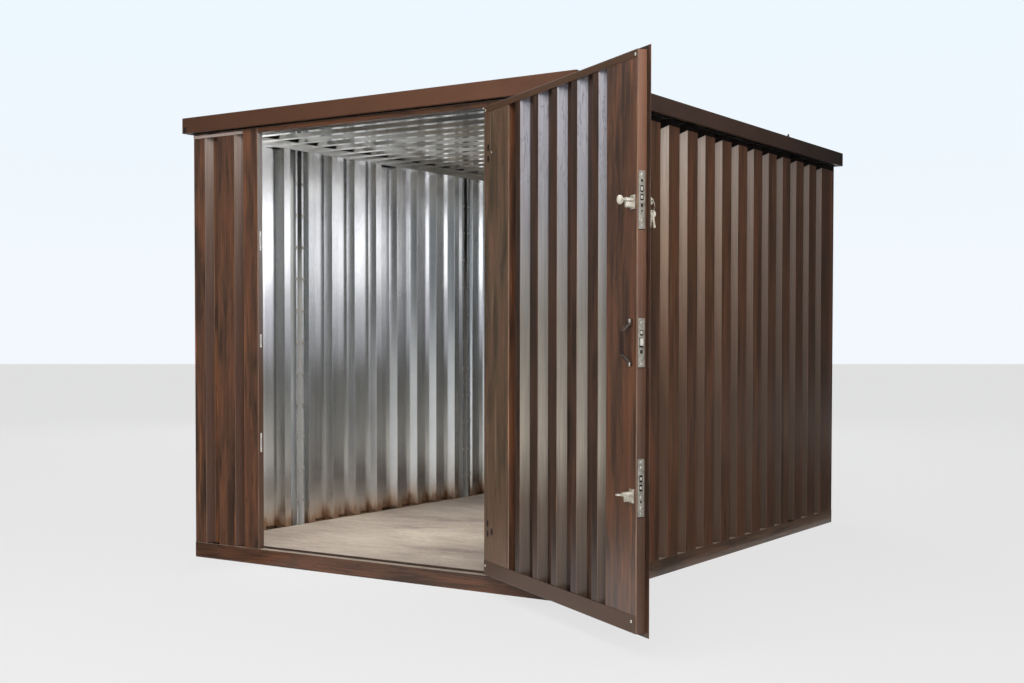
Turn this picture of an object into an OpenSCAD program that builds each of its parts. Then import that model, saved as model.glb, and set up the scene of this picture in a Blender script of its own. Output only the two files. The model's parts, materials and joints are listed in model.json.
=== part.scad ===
// Storage container: profiled steel walls on a base frame, a flat roof behind a
// fascia, and one door that swings outwards. Millimetres, +Z up. The origin is
// on the ground at the centre of the body; the door is in the front (-Y) wall.

/* [Body] */
// Width of the body, over the outer faces of the walls
body_w = 2095; // [1900:5:2600]
// Length of the body, over the outer faces of the walls
body_l = 2975; // [2000:5:6000]
// Height from the ground to the top of the fascia
total_h = 2110; // [1950:5:2600]
// Thickness of the wall and roof sheets
sheet_t = 1.5; // [1:0.1:2.5]
// Thickness of the folded frame channels
frame_t = 2; // [1.5:0.1:3]

/* [Wall ribs] */
// Distance from one rib to the next
rib_pitch = 192; // [150:1:220]
// Width of a rib's mouth, in the outer face
rib_mouth = 84; // [70:1:100]
// Width of the flat at the bottom of a rib
rib_floor = 44; // [20:1:60]
// Depth of the ribs
rib_depth = 40; // [25:1:50]
// Least distance from a body corner to a rib, on the side walls
side_rib_edge = 200; // [150:1:230]
// Least distance from a body corner to a rib, on the rear wall
rear_rib_edge = 140; // [120:1:180]
// Distance from a body corner to the first rib, on the front wall
front_rib_edge = 115.5; // [105:0.5:130]
// Ribs in the panel at each end of a side wall
end_panel_ribs = 3; // [2:1:4]

/* [Base and floor] */
// Height of the base rails
base_h = 72; // [60:1:110]
// Flange left bare inside the wall sheet
flange_spare = 3.5; // [2:0.5:10]
// Height of the floor above the base rails
floor_rise = 8; // [4:1:14]
// Thickness of the floor board
floor_t = 18; // [15:1:27]
// Gap around the floor board
floor_gap = 0.5; // [0.2:0.1:1]
// Cross bearers under the floor
bearers = 5; // [3:2:9]
// Width of a cross bearer
bearer_w = 60; // [40:1:100]

/* [Posts] */
// Length of each leg of a corner post
post_leg = 60; // [45:1:60]
// Width across a seam post's channel
seam_w = 36; // [30:1:50]
// Lips at the open side of the seam posts
seam_lip = 12; // [8:1:20]

/* [Roof] */
// Overhang of the roof past the walls
overhang = 37.5; // [25:0.5:60]
// Height of the fascia
fascia_h = 73; // [60:1:100]
// Width of the fascia's flange over the roof sheet
fascia_flange = 40; // [30:1:60]
// Width of the fascia's lower lip
fascia_lip = 20; // [10:1:22]
// Depth of the roof sheet
roof_depth = 34.5; // [25:0.5:45]
// Distance from one roof rib to the next
roof_pitch = 152; // [120:1:200]
// Width of a roof rib's mouth
roof_mouth = 82; // [70:1:90]
// Width of the flat at the bottom of a roof rib
roof_floor = 42; // [20:1:55]
// Least distance from the roof's edge to a rib
roof_rib_edge = 110; // [90:1:130]
// Height of the rails on top of the walls
top_rail_h = 40; // [30:1:60]

/* [Doorway] */
// Clear width between the jambs
opening_w = 1268; // [1000:2:1300]
// Depth of the jambs behind the front face
reveal = 35; // [25:1:38]
// Height of the header over the doorway
header_h = 22; // [15:1:60]
// Lip at the back of a jamb
jamb_lip = 15; // [8:1:25]
// Least width of a jamb's face
jamb_face_min = 80; // [75:1:90]
// Distance from the last front rib's middle to the jamb's outer leg
jamb_leg_offset = 12.5; // [5:0.5:15]
// Lap of the front wall sheets behind the jambs
panel_lap = 48; // [20:1:60]
// Thickness of the strike plates on the left jamb
strike_t = 1.2; // [0.8:0.1:1.4]
// Width of the strike plates
strike_w = 16; // [10:1:20]
// Distance from the front face to the strike plates
strike_set = 9; // [5:1:15]
// Length of the upper and lower strike plates
long_strike = 88; // [60:1:140]
// Length of the latch's strike plate
short_strike = 60; // [40:1:100]

/* [Door leaf] */
// Thickness of the leaf's sheets
leaf_t = 1.5; // [1:0.1:2]
// Depth of the leaf, over its outer sheet and its stiles
leaf_depth = 36; // [30:1:38]
// Gap between the leaf's box and each jamb
side_gap = 8; // [8:0.5:12]
// Gap between the leaf's outer sheet and the front face
rebate_gap = 6; // [5:0.5:10]
// Rebate of the outer sheet past the leaf's box, at the sides
side_rebate = 25; // [18:1:30]
// Rebate of the outer sheet past the leaf's box, at top and bottom
end_rebate = 12; // [10:1:20]
// Height of the outer sheet above the sill
sill_gap = 5; // [3:1:10]
// Width of the hinge stile
hinge_stile_w = 241; // [180:1:260]
// Width of the lock stile
lock_stile_w = 209; // [180:1:260]
// Height of the top rail on the leaf
leaf_top_rail = 27; // [24:1:60]
// Height of the bottom rail on the leaf
leaf_bottom_rail = 60; // [40:1:90]
// Distance from the leaf's box edges to the ends of its top and bottom rails
rail_inset = 3; // [1:0.5:10]
// Distance from one leaf rib to the next
leaf_rib_pitch = 159; // [140:1:180]
// Width of a leaf rib's mouth
leaf_rib_mouth = 82; // [70:1:95]
// Width of the flat at the bottom of a leaf rib
leaf_rib_floor = 42; // [20:1:50]
// Least distance from a stile to a leaf rib
leaf_rib_edge = 70; // [60:1:78]

/* [Hinges] */
// Angle at which the door stands open
door_angle = 147; // [90:1:170]
// Radius of the hinge knuckles
knuckle_r = 7; // [6:0.5:9]
// Radius of the hinge pins
pin_r = 4; // [3:0.5:4.5]
// Running clearance around the hinge pins
pin_play = 0.1; // [0.05:0.05:0.3]
// Height of a hinge
hinge_h = 120; // [90:1:160]
// Gap between two knuckles
knuckle_gap = 0.5; // [0.3:0.1:2]
// Thickness of the hinge leaves
hinge_t = 3; // [2:0.5:4]
// Width of the hinge leaves
hinge_leaf_w = 38; // [30:1:45]
// Distance from the leaf's edge to the hinge axis, sideways
pivot_out = 11.5; // [11:0.5:16]
// Distance from the front face to the hinge axis
pivot_front = 12; // [11:0.5:14]
// Height of the lower hinge
lower_hinge_z = 285; // [200:1:500]
// Height of the upper hinge
upper_hinge_z = 1800; // [1300:1:1830]

/* [Locks and handle] */
// Width of the lock face plates
plate_w = 24; // [20:1:26]
// Thickness of the lock face plates
plate_t = 1; // [0.8:0.1:1.2]
// Distance from the lock edge to the cylinders' axis
backset = 26; // [24:1:40]
// Height of the upper lock cylinder
upper_lock_z = 1510; // [1300:1:1600]
// Height of the lower lock cylinder
lower_lock_z = 548; // [400:1:700]
// Height of the middle of the latch
latch_z = 1045; // [900:1:1150]
// Length of the upper and lower face plates
long_plate = 190; // [150:1:220]
// Height of the lower face plate's middle over its cylinder
lower_plate_rise = 22; // [0:1:40]
// Length of the latch's face plate
short_plate = 160; // [120:1:200]
// Radius of a lock cylinder
cyl_r = 8.5; // [8:0.1:9]
// Height of a lock cylinder's profile
cyl_h = 33; // [30:0.5:34]
// Half width of a lock cylinder's lower part
cyl_foot_r = 5; // [4.5:0.1:5.5]
// Play around a lock cylinder
cyl_play = 0.2; // [0.1:0.05:0.4]
// Reach of the cylinders past the leaf's inner face
cyl_in = 30; // [15:1:35]
// Reach of the cylinders past the leaf's outer face
cyl_out = 10; // [6:1:14]
// Width of an escutcheon
rose_w = 27; // [24:1:36]
// Height of an escutcheon
rose_h = 46; // [42:1:60]
// Height of a cylinder's axis over the middle of its escutcheon
rose_rise = 6; // [2:0.5:8]
// Thickness of an escutcheon
rose_t = 4; // [2:0.5:5]
// Running gap between a thumb turn and its cylinder
turn_gap = 0.3; // [0.1:0.1:0.6]
// Radius of a thumb turn
turn_r = 16.5; // [12:0.5:20]
// Width of a thumb turn along its axis
turn_w = 25; // [16:1:28]
// Thickness of a thumb turn
turn_t = 5; // [4:0.5:7]
// Radius of a thumb turn's stem
stem_r = 7; // [4:0.5:8]
// Length of a thumb turn's stem
stem_len = 6; // [4:0.5:10]
// Height of the pull handle
handle_h = 154; // [140:1:260]
// Width of the pull handle's strip
handle_w = 30; // [20:1:40]
// Thickness of the pull handle's strip
handle_t = 4; // [3:0.5:6]
// Clear depth behind the pull handle
handle_reach = 30; // [26:1:50]
// Length of each foot of the pull handle
handle_foot = 12; // [10:1:30]
// Height over which the pull handle bends out from its foot
handle_run = 26; // [8:1:32]
// Distance from the lock edge to the middle of the pull handle
handle_set = 42; // [35:1:80]

/* [Keys] */
// Diameter of a key's bow
key_bow = 24; // [20:1:28]
// Length of a key's blade
key_blade = 34; // [28:1:45]
// Thickness of a key
key_t = 2.4; // [2:0.1:3]
// Width of a key's blade
key_blade_w = 8; // [6:0.5:9]
// Distance from the middle of a key's eye to the edge of its bow
key_rim = 5; // [4:0.5:7]
// Length of the upper key's blade that shows outside its lock
key_neck = 6; // [3:0.5:10]
// Angle by which each hanging key swings out
key_spread = 9; // [0:1:20]
// Diameter of the key ring
ring_d = 34; // [26:1:44]
// Thickness of the key ring's wire
ring_wire = 1.8; // [1.2:0.1:2.2]

/* [Hidden] */
$fn = 48;
// Reach of a cut past the faces that it opens
cut_over = 1;

// Half sizes and levels of the body
half_w = body_w / 2;
half_l = body_l / 2;
flange = rib_depth + sheet_t + flange_spare;
floor_top = base_h + floor_rise;
roof_h = roof_depth + sheet_t;
roof_z = total_h - frame_t - roof_h;
wall_top = roof_z - top_rail_h;
wall_h = wall_top - base_h;
eave_w = half_w + overhang;
eave_l = half_l + overhang;
opening_top = wall_top - header_h;
half_open = opening_w / 2;

// Ribs of each wall, as distances from the wall's middle
function spread(count, pitch) = [for (i = [0 : count - 1]) (i - (count - 1) / 2) * pitch];
function fitting(length, edge, pitch) = floor((length - 2 * edge) / pitch) + 1;
side_ribs = spread(fitting(body_l, side_rib_edge, rib_pitch), rib_pitch);
rear_ribs = spread(fitting(body_w, rear_rib_edge, rib_pitch), rib_pitch);
side_seam = side_ribs[len(side_ribs) - end_panel_ribs] - rib_pitch / 2;
rear_seam = rear_ribs[floor(len(rear_ribs) / 2)] - rib_pitch / 2;
front_rib_count = floor((half_w - half_open - front_rib_edge - jamb_face_min) / rib_pitch) + 1;
front_ribs = [for (i = [0 : front_rib_count - 1]) -half_w + front_rib_edge + i * rib_pitch];
jamb_leg_x = front_ribs[front_rib_count - 1] + jamb_leg_offset;
front_panel_end = jamb_leg_x + panel_lap;

// Levels and widths of the door leaf, closed
leaf_skin_y = -half_l - rebate_gap - leaf_t;
leaf_bottom = base_h + sill_gap;
leaf_top = opening_top;
box_bottom = leaf_bottom + end_rebate;
box_top = leaf_top - end_rebate;
box_half = half_open - side_gap;
leaf_half = box_half + side_rebate;
leaf_rib_depth = leaf_depth - 2 * leaf_t;
stiles_middle = (lock_stile_w - hinge_stile_w) / 2;
between_stiles = 2 * box_half - hinge_stile_w - lock_stile_w;
leaf_ribs = [for (s = spread(fitting(between_stiles, leaf_rib_edge, leaf_rib_pitch), leaf_rib_pitch))
    s + stiles_middle];
pivot = [leaf_half + pivot_out, -half_l - pivot_front, 0];
lock_x = -box_half + backset;
cyl_len = leaf_depth + cyl_in + cyl_out;
cylinder_levels = [upper_lock_z, lower_lock_z];
hinge_levels = [lower_hinge_z, upper_hinge_z];
// Face plates of the locks: [height of the middle, length, length of its strike plate]
face_plates = [[upper_lock_z, long_plate, long_strike], [latch_z, short_plate, short_strike],
               [lower_lock_z + lower_plate_rise, long_plate, long_strike]];
eye_r = 1.6 * ring_wire;

// Plan of a ribbed sheet from s0 to s1, outer face on y = 0 and ribs towards +y.
// open_end leaves the last rib unfinished, so that the sheet ends on its flat.
function rib_path(ribs, mouth, flat, depth, k) = [for (c = ribs)
    each [[c - mouth / 2 - k, 0], [c - flat / 2 - k, depth],
          [c + flat / 2 + k, depth], [c + mouth / 2 + k, 0]]];
function within(ribs, s0, s1) = [for (c = ribs) if (c > s0 && c < s1) c];

module ribbed_plan(s0, s1, ribs, mouth, flat, depth, t, open_end = false) {
    slope = atan2(depth, (mouth - flat) / 2);
    k = t * tan(slope / 2);
    inside = within(ribs, s0, s1);
    outer_all = rib_path(inside, mouth, flat, depth, 0);
    inner_all = [for (p = rib_path(inside, mouth, flat, depth, k)) p + [0, t]];
    last = len(outer_all) - (open_end ? 3 : 1);
    outer = [[s0, 0], for (i = [0 : 1 : last]) outer_all[i], [s1, open_end ? depth : 0]];
    inner = [[s0, t], for (i = [0 : 1 : last]) inner_all[i], [s1, open_end ? depth + t : t]];
    polygon(concat(outer, [for (i = [len(inner) - 1 : -1 : 0]) inner[i]]));
}

// Stands a plan, drawn along the wall, at each side of the body
module at_front() translate([0, -half_l, 0]) children();
module at_rear() translate([0, half_l, 0]) mirror([0, 1, 0]) children();
module at_left() translate([-half_w, 0, 0]) mirror([1, -1, 0]) children();
module at_right() translate([half_w, 0, 0]) rotate(90) children();

module wall_sheet(s0, s1, ribs, open_end = false)
    translate([0, 0, base_h]) linear_extrude(wall_h)
        ribbed_plan(s0, s1, ribs, rib_mouth, rib_floor, rib_depth, sheet_t, open_end);

// Channel along s, open inwards: its web from -web to +web, its flanges between -trim and +trim
module base_channel(web, trim) {
    translate([-web, 0, 0]) cube([2 * web, frame_t, base_h]);
    for (z = [0, base_h - frame_t])
        translate([-trim, frame_t, z]) cube([2 * trim, flange - frame_t, frame_t]);
}

// Channel along s, web inwards, on top of a wall
module top_channel(s0, s1) translate([s0, 0, wall_top]) {
    translate([0, flange - frame_t, 0]) cube([s1 - s0, frame_t, top_rail_h]);
    cube([s1 - s0, flange - frame_t, frame_t]);
    translate([0, 0, top_rail_h - frame_t]) cube([s1 - s0, flange - frame_t, frame_t]);
}

// Fascia along s: its web runs from -web to +web, its flange and lip between -trim and +trim
module fascia(web, trim) translate([0, -overhang, total_h - fascia_h]) {
    translate([-web, 0, 0]) cube([2 * web, frame_t, fascia_h]);
    translate([-trim, frame_t, fascia_h - frame_t])
        cube([2 * trim, fascia_flange - frame_t, frame_t]);
    translate([-trim, frame_t, 0]) cube([2 * trim, fascia_lip - frame_t, frame_t]);
}

module front_sill() color("#5a3a28") at_front() base_channel(half_w, half_w - frame_t);
module rear_base_rail() color("#5a3a28") at_rear() base_channel(half_w, half_w - frame_t);
module left_base_rail() color("#5a3a28") at_left() base_channel(half_l - frame_t, half_l - flange);
module right_base_rail() color("#5a3a28") at_right() base_channel(half_l - frame_t, half_l - flange);

module floor_bearers() color("#8b8f90") {
    span = 2 * (half_w - flange);
    step = (body_l - 2 * flange - bearer_w) / (bearers - 1);
    for (y = spread(bearers, step)) translate([-span / 2, y - bearer_w / 2, 0])
        difference() {
            cube([span, bearer_w, floor_top - floor_t]);
            translate([-cut_over, frame_t, frame_t])
                cube([span + 2 * cut_over, bearer_w - 2 * frame_t, floor_top - floor_t - 2 * frame_t]);
        }
}

module floor_board() color("#bdb2a2")
    translate([0, 0, floor_top - floor_t / 2])
        cube([2 * (half_w - flange - floor_gap), 2 * (half_l - flange - floor_gap), floor_t],
             center = true);

module corner_post(sx, sy) translate([sx * half_w, sy * half_l, base_h])
    mirror([sx > 0 ? 1 : 0, 0, 0]) mirror([0, sy > 0 ? 1 : 0, 0]) {
        cube([post_leg, frame_t, wall_h]);
        translate([0, frame_t, 0]) cube([frame_t, post_leg - frame_t, wall_h]);
    }

module front_left_post() color("#5f4030") corner_post(-1, -1);
module front_right_post() color("#5f4030") corner_post(1, -1);
module rear_left_post() color("#5f4030") corner_post(-1, 1);
module rear_right_post() color("#5f4030") corner_post(1, 1);

module side_panel_front() wall_sheet(-half_l + post_leg, -side_seam, side_ribs);
module side_panel_middle() wall_sheet(-side_seam, side_seam, side_ribs);
module side_panel_rear() wall_sheet(side_seam, half_l - post_leg, side_ribs);

module left_wall_front() color("#6b4a38") at_left() side_panel_front();
module left_wall_middle() color("#6b4a38") at_left() side_panel_middle();
module left_wall_rear() color("#6b4a38") at_left() side_panel_rear();
module right_wall_front() color("#6b4a38") at_right() side_panel_front();
module right_wall_middle() color("#6b4a38") at_right() side_panel_middle();
module right_wall_rear() color("#6b4a38") at_right() side_panel_rear();
module rear_wall_left() color("#6b4a38")
    at_rear() wall_sheet(-half_w + post_leg, rear_seam, rear_ribs);
module rear_wall_right() color("#6b4a38")
    at_rear() wall_sheet(rear_seam, half_w - post_leg, rear_ribs);
module front_wall_left() color("#6b4a38")
    at_front() wall_sheet(-half_w + post_leg, front_panel_end, front_ribs, true);
module front_wall_right() color("#6b4a38") mirror([1, 0, 0])
    at_front() wall_sheet(-half_w + post_leg, front_panel_end, front_ribs, true);

// Hat section inside a wall, over the joint of two sheets
module seam_post(s) translate([s, sheet_t, base_h]) {
    depth = rib_depth;
    translate([-seam_w / 2, 0, 0]) cube([seam_w, sheet_t, wall_h]);
    for (side = [0, 1]) mirror([side, 0, 0]) {
        translate([seam_w / 2 - sheet_t, sheet_t, 0]) cube([sheet_t, depth - sheet_t, wall_h]);
        translate([seam_w / 2, depth - sheet_t, 0]) cube([seam_lip, sheet_t, wall_h]);
    }
}

module left_seam_posts() color("#c9cdd2") at_left() { seam_post(-side_seam); seam_post(side_seam); }
module right_seam_posts() color("#c9cdd2") at_right() { seam_post(-side_seam); seam_post(side_seam); }
module rear_seam_post() color("#c9cdd2") at_rear() seam_post(rear_seam);

// Channel at the left of the doorway: face, outer leg, reveal and back lip
module jamb() translate([0, 0, base_h]) {
    translate([jamb_leg_x, 0, 0]) cube([-half_open - jamb_leg_x, frame_t, wall_h]);
    translate([jamb_leg_x, frame_t, 0]) cube([frame_t, rib_depth - frame_t, wall_h]);
    translate([-half_open - frame_t, frame_t, 0]) cube([frame_t, reveal - frame_t, wall_h]);
    translate([-half_open - frame_t - jamb_lip, reveal - frame_t, 0])
        cube([jamb_lip, frame_t, wall_h]);
}

module left_jamb() color("#5f4030") at_front() jamb();
module right_jamb() color("#5f4030") at_front() mirror([1, 0, 0]) jamb();

module door_header() color("#5f4030") at_front() translate([-half_open, 0, opening_top]) {
    cube([opening_w, frame_t, header_h]);
    translate([0, frame_t, 0]) cube([opening_w, reveal - frame_t, frame_t]);
    translate([0, reveal - frame_t, frame_t]) cube([opening_w, frame_t, header_h - frame_t]);
}

// One strike plate on the left jamb for each lock face plate
module strike_plates() color("#d8d3cc") for (plate = face_plates)
    translate([-half_open, -half_l + strike_set, plate[0] - plate[2] / 2])
        cube([strike_t, strike_w, plate[2]]);

module front_top_rail() color("#9aa0a4") at_front() top_channel(-half_w, half_w);
module rear_top_rail() color("#9aa0a4") at_rear() top_channel(-half_w, half_w);
module left_top_rail() color("#9aa0a4")
    at_left() top_channel(-half_l + flange, half_l - flange);
module right_top_rail() color("#9aa0a4")
    at_right() top_channel(-half_l + flange, half_l - flange);

module roof_sheet() color("#8f9490") {
    edge = eave_l - frame_t;
    ribs = spread(fitting(2 * edge, roof_rib_edge, roof_pitch), roof_pitch);
    translate([-eave_w + frame_t, 0, total_h - frame_t])
        rotate([90, 0, 90]) mirror([0, 1, 0]) linear_extrude(2 * (eave_w - frame_t))
            ribbed_plan(-edge, edge, ribs, roof_mouth, roof_floor, roof_depth, sheet_t);
}

module front_fascia() color("#5c3f2e") at_front() fascia(eave_w, eave_w - frame_t);
module rear_fascia() color("#5c3f2e") at_rear() fascia(eave_w, eave_w - frame_t);
module left_fascia() color("#5c3f2e")
    at_left() fascia(eave_l - frame_t, eave_l - fascia_flange);
module right_fascia() color("#5c3f2e")
    at_right() fascia(eave_l - frame_t, eave_l - fascia_flange);

// Hinge parts, about the hinge axis, upright
module knuckle(h, leaf_side) difference() {
    union() {
        cylinder(r = knuckle_r, h = h);
        if (leaf_side < 0) {
            translate([-hinge_leaf_w, pivot_front - rebate_gap - leaf_t - hinge_t, 0])
                cube([hinge_leaf_w, hinge_t, h]);
        } else {
            translate([0, pivot_front - hinge_t, 0]) cube([hinge_leaf_w, hinge_t, h]);
            cube([hinge_t, pivot_front - hinge_t, h]);
        }
    }
    translate([0, 0, -cut_over])
        cylinder(r = pin_r + (leaf_side < 0 ? pin_play : 0), h = h + 2 * cut_over);
}

side_knuckle = hinge_h / 3 - knuckle_gap;

module frame_hinges() color("#4a3a30") for (z = hinge_levels) translate([pivot[0], pivot[1], z]) {
    for (end = [-hinge_h / 2, hinge_h / 2 - side_knuckle])
        translate([0, 0, end]) knuckle(side_knuckle, 1);
    translate([0, 0, -hinge_h / 2]) cylinder(r = pin_r, h = hinge_h);
}

// Places what is drawn on the closed door where the open door has it
module on_open_door() translate(pivot) rotate(door_angle) translate(-pivot) children();

// Plan of a lock cylinder: a round plug with a foot below it, grown by a play
module cylinder_profile(grow) {
    drop = cyl_h - cyl_r - cyl_foot_r;
    foot = cyl_foot_r + grow;
    circle(r = cyl_r + grow);
    translate([-foot, -drop]) square([2 * foot, drop]);
    translate([0, -drop]) circle(r = foot);
}

// Along +Y through the leaf, from y0 for a length, at each lock
module along_lock(level, y0, length)
    translate([lock_x, leaf_skin_y + y0 + length, level]) rotate([90, 0, 0])
        linear_extrude(length) children();

module cylinder_holes(y0, length) for (level = cylinder_levels)
    along_lock(level, y0, length) cylinder_profile(cyl_play);

module door_hinge_leaves() color("#4a3a30") on_open_door()
    for (z = hinge_levels) translate([pivot[0], pivot[1], z - hinge_h / 2 + hinge_h / 3])
        knuckle(hinge_h / 3, -1);

// Outer sheet: ribbed between the caps of the leaf's box, flat rims beyond them
module door_sheet() color("#5d3d2c") on_open_door() difference() {
    rib_bottom = box_bottom + leaf_t;
    rib_top = box_top - leaf_t;
    union() {
        translate([0, leaf_skin_y, rib_bottom]) linear_extrude(rib_top - rib_bottom)
            ribbed_plan(-leaf_half, leaf_half, leaf_ribs, leaf_rib_mouth, leaf_rib_floor,
                        leaf_rib_depth, leaf_t);
        translate([-leaf_half, leaf_skin_y, leaf_bottom])
            cube([2 * leaf_half, leaf_t, rib_bottom - leaf_bottom]);
        translate([-leaf_half, leaf_skin_y, rib_top])
            cube([2 * leaf_half, leaf_t, leaf_top - rib_top]);
    }
    cylinder_holes(-cut_over, leaf_t + 2 * cut_over);
}

// Stile drawn from its outer edge at x = 0 towards -x
module stile(width) translate([0, leaf_skin_y, box_bottom + leaf_t]) {
    h = box_top - box_bottom - 2 * leaf_t;
    translate([-width, leaf_depth - leaf_t, 0]) cube([width, leaf_t, h]);
    for (x = [-leaf_t, -width]) translate([x, leaf_t, 0])
        cube([leaf_t, leaf_depth - 2 * leaf_t, h]);
}

module door_hinge_stile() color("#5d3d2c") on_open_door() translate([box_half, 0, 0])
    stile(hinge_stile_w);

module door_lock_stile() color("#5d3d2c") on_open_door() difference() {
    translate([-box_half, 0, 0]) mirror([1, 0, 0]) stile(lock_stile_w);
    cylinder_holes(leaf_depth - leaf_t - cut_over, leaf_t + 2 * cut_over);
}

// Rail capping the leaf's box: a face over the stiles and a return to the outer sheet
module leaf_cap(z0, z1, cap_z) {
    cap_half = box_half - rail_inset;
    translate([-cap_half, leaf_skin_y + leaf_depth, z0]) cube([2 * cap_half, leaf_t, z1 - z0]);
    translate([-cap_half, leaf_skin_y + leaf_t, cap_z])
        cube([2 * cap_half, leaf_depth - leaf_t, leaf_t]);
}

module door_top_rail() color("#54382a") on_open_door()
    leaf_cap(box_top - leaf_top_rail, box_top, box_top - leaf_t);
module door_bottom_rail() color("#54382a") on_open_door()
    leaf_cap(box_bottom, box_bottom + leaf_bottom_rail, box_bottom);

module lock_plates() color("#b9b4aa") on_open_door()
    for (plate = face_plates)
        translate([-box_half - plate_t, leaf_skin_y + (leaf_depth + leaf_t - plate_w) / 2,
                   plate[0] - plate[1] / 2])
            cube([plate_t, plate_w, plate[1]]);

module lock_cylinders() color("#cfc9b8") on_open_door()
    for (level = cylinder_levels)
        along_lock(level, -cyl_out, cyl_len) cylinder_profile(0);

module escutcheon_plan() difference() {
    translate([-rose_w / 2, -rose_h / 2 - rose_rise]) square([rose_w, rose_h]);
    cylinder_profile(cyl_play);
}

module escutcheons() color("#cfc9b8") on_open_door()
    for (level = cylinder_levels) {
        along_lock(level, leaf_depth, rose_t) escutcheon_plan();
        along_lock(level, -rose_t, rose_t) escutcheon_plan();
    }

// Bent strip: feet on the stile, grip standing off it
module pull_handle() color("#4d3528") on_open_door() {
    lean = handle_t / 2;
    bend = handle_foot + handle_run;
    top = handle_reach + handle_t;
    over = [[0, handle_t], [handle_foot, handle_t], [bend, top], [handle_h - bend, top],
            [handle_h - handle_foot, handle_t], [handle_h, handle_t]];
    under = [[handle_h, 0], [handle_h - handle_foot - lean, 0],
             [handle_h - bend - lean, handle_reach], [bend + lean, handle_reach],
             [handle_foot + lean, 0], [0, 0]];
    translate([-box_half + handle_set - handle_w / 2, leaf_skin_y + leaf_depth,
               latch_z - handle_h / 2])
        rotate([90, 0, 90]) mirror([1, -1, 0]) linear_extrude(handle_w)
            polygon(concat(over, under));
}

// Thumb turn on the end of a cylinder, its blade turned by an angle
module thumb_turn(level, angle) on_open_door()
    translate([lock_x, leaf_skin_y + leaf_depth + cyl_in + turn_gap, level])
        rotate([0, angle, 0]) {
            rotate([-90, 0, 0]) cylinder(r = stem_r, h = stem_len);
            translate([-turn_t / 2, stem_len, 0]) rotate([90, 0, 90]) linear_extrude(turn_t)
                intersection() {
                    translate([turn_w / 2, 0]) circle(r = turn_r);
                    translate([0, -turn_r]) square([turn_w, 2 * turn_r]);
                }
        }

module upper_thumb_turn() color("#e2dccb") thumb_turn(upper_lock_z, 0);
module lower_thumb_turn() color("#e2dccb") thumb_turn(lower_lock_z, 90);

// Key plate in the YZ plane: its eye at the origin, its blade along -z
module key_plate(blade) translate([-key_t / 2, 0, 0]) rotate([90, 0, 90])
    linear_extrude(key_t) difference() {
        union() {
            translate([0, key_rim - key_bow / 2]) circle(d = key_bow);
            translate([-key_blade_w / 2, key_rim - key_bow - blade])
                square([key_blade_w, blade + key_bow / 2 - key_rim]);
        }
        circle(r = eye_r);
    }

// One key in the upper lock, and a ring through its eye with two more
module keys() color("#d9cdbd") on_open_door()
    translate([lock_x, leaf_skin_y - cyl_out - turn_gap, upper_lock_z]) {
        eye_y = key_rim - key_bow - key_neck;
        ring_r = (ring_d - ring_wire) / 2;
        sag = eye_r - ring_wire / 2 - turn_gap;
        ring_foot = -sag - 2 * ring_r;
        translate([0, eye_y, 0]) rotate([90, 0, 0]) key_plate(key_neck);
        translate([0, eye_y, -sag - ring_r]) rotate([90, 0, 0])
            rotate_extrude() translate([ring_r, 0]) circle(d = ring_wire);
        for (side = [-1, 1])
            translate([side * (key_t / 2 + turn_gap), eye_y, ring_foot - sag + turn_gap])
                rotate([side * key_spread, 0, 0]) key_plate(key_blade);
    }

front_sill();
rear_base_rail();
left_base_rail();
right_base_rail();
floor_bearers();
floor_board();
front_left_post();
front_right_post();
rear_left_post();
rear_right_post();
left_wall_front();
left_wall_middle();
left_wall_rear();
right_wall_front();
right_wall_middle();
right_wall_rear();
rear_wall_left();
rear_wall_right();
front_wall_left();
front_wall_right();
left_seam_posts();
right_seam_posts();
rear_seam_post();
left_jamb();
right_jamb();
door_header();
strike_plates();
front_top_rail();
rear_top_rail();
left_top_rail();
right_top_rail();
roof_sheet();
front_fascia();
rear_fascia();
left_fascia();
right_fascia();
frame_hinges();
door_sheet();
door_hinge_stile();
door_lock_stile();
door_top_rail();
door_bottom_rail();
door_hinge_leaves();
lock_plates();
lock_cylinders();
escutcheons();
pull_handle();
keys();
upper_thumb_turn();
lower_thumb_turn();
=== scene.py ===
import json
import math
import random

import bmesh
import bpy
from mathutils import Matrix, Vector


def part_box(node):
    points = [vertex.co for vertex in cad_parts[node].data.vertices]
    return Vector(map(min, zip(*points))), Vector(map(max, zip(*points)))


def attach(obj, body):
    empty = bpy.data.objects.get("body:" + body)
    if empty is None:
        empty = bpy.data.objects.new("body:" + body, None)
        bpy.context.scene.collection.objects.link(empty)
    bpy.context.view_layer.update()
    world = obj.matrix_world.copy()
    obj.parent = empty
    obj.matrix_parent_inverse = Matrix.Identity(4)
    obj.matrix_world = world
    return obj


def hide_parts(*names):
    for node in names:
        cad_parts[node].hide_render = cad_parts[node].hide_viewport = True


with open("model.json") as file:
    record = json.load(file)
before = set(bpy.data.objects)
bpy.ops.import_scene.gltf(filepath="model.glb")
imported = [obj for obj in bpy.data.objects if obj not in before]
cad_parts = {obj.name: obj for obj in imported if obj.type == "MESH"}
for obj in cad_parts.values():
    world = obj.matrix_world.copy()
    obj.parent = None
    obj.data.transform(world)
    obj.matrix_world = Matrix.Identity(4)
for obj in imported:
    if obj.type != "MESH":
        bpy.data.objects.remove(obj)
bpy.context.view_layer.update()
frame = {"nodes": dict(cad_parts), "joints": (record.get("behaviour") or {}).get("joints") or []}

nodes = frame["nodes"]
scene = bpy.context.scene
scene.view_settings.view_transform = "Standard"
rng = random.Random(7)
print("frame loaded:", len(nodes), "nodes")

cameraSettings = {
    "place": (3.8265, -6.3015, 1.065),
    "turn": 34.6,          # degrees to the left of straight ahead
    "dip": 1.62,           # degrees below the horizon
    "lens": 49.04,
    "shift": (0.051, 0.0337),
}


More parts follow.
